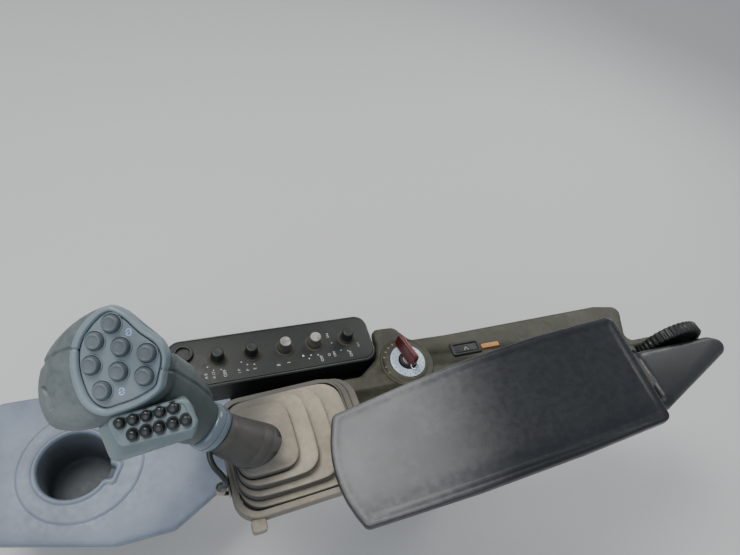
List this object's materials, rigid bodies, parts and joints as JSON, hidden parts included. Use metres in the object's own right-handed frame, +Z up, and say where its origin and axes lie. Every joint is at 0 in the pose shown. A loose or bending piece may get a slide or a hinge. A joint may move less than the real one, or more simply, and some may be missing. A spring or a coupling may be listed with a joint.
{
  "type": "operator control console",
  "caption": "Right-hand operator's console: joystick with rubber boot and button grip, switch box, key switch, hinged armrest and tray with cup well on a steel column.",
  "frame": {"origin": "centre of the bolt pattern in the base plate, on the mounting face", "axes": "+X to the rear of the cab, +Y outboard to the window, +Z up"},
  "size_m": [0.8886, 0.2915, 0.4656],
  "materials": {
    "stand": "satin",
    "pod": "matt, dusty",
    "black_plastic": "matt",
    "tray": "fine grain",
    "rubber": "matt, dusty",
    "grip": "satin",
    "collar": "gloss",
    "buttons": "matt",
    "pad": "smooth moulded skin",
    "steel": "machined",
    "label": "satin",
    "key_red": "satin",
    "amber": "satin"
  },
  "bodies": {
    "console": {"base_plate": "stand", "column": "stand", "head_plate": "stand", "pod_shell": "pod", "key_label": "label", "lock_barrel": "black_plastic", "key": "key_red", "blank_plate": "black_plastic", "indicator_bar": "amber", "switch_box": "black_plastic", "switch_fascia": "black_plastic", "panel_knobs": "black_plastic", "power_socket": "black_plastic", "box_rail": "stand", "boot_frame": "rubber", "boot": "rubber", "joystick_housing": "stand", "cable_clip": "steel", "hinge_bracket": "stand", "hinge_pin": "steel", "rear_cover": "black_plastic", "adjust_wheel": "black_plastic", "tray": "tray", "tray_stay": "stand"},
    "gimbal": {"gimbal_ring": "steel"},
    "stick": {"stick_shaft": "steel", "sleeve": "rubber", "collar": "collar", "grip_outer": "grip", "grip_inner": "grip", "face_panel": "grip", "face_buttons": "buttons", "keypad_domes": "buttons", "grip_cable": "rubber"},
    "armrest": {"armrest_pad": "pad", "arm_blade": "stand"}
  },
  "joints": [
    {"name": "stick_fore_aft", "type": "hinge", "parent": "console", "child": "gimbal", "pos_m": [-0.248, -0.041, 0.263], "axis": [0, 1, 0], "range_deg": [-16, 7], "stiffness_Nm_per_rad": 4, "deforming": ["boot", "grip_cable"]},
    {"name": "stick_side", "type": "hinge", "parent": "gimbal", "child": "stick", "pos_m": [-0.248, -0.041, 0.263], "axis": [1, 0, 0], "range_deg": [-14, 14], "stiffness_Nm_per_rad": 4, "deforming": ["boot", "grip_cable"]},
    {"name": "armrest_lift", "type": "hinge", "parent": "console", "child": "armrest", "pos_m": [0.10007, -0.07, 0.36599], "axis": [0, 1, 0], "range_deg": [0, 90]}
  ]
}
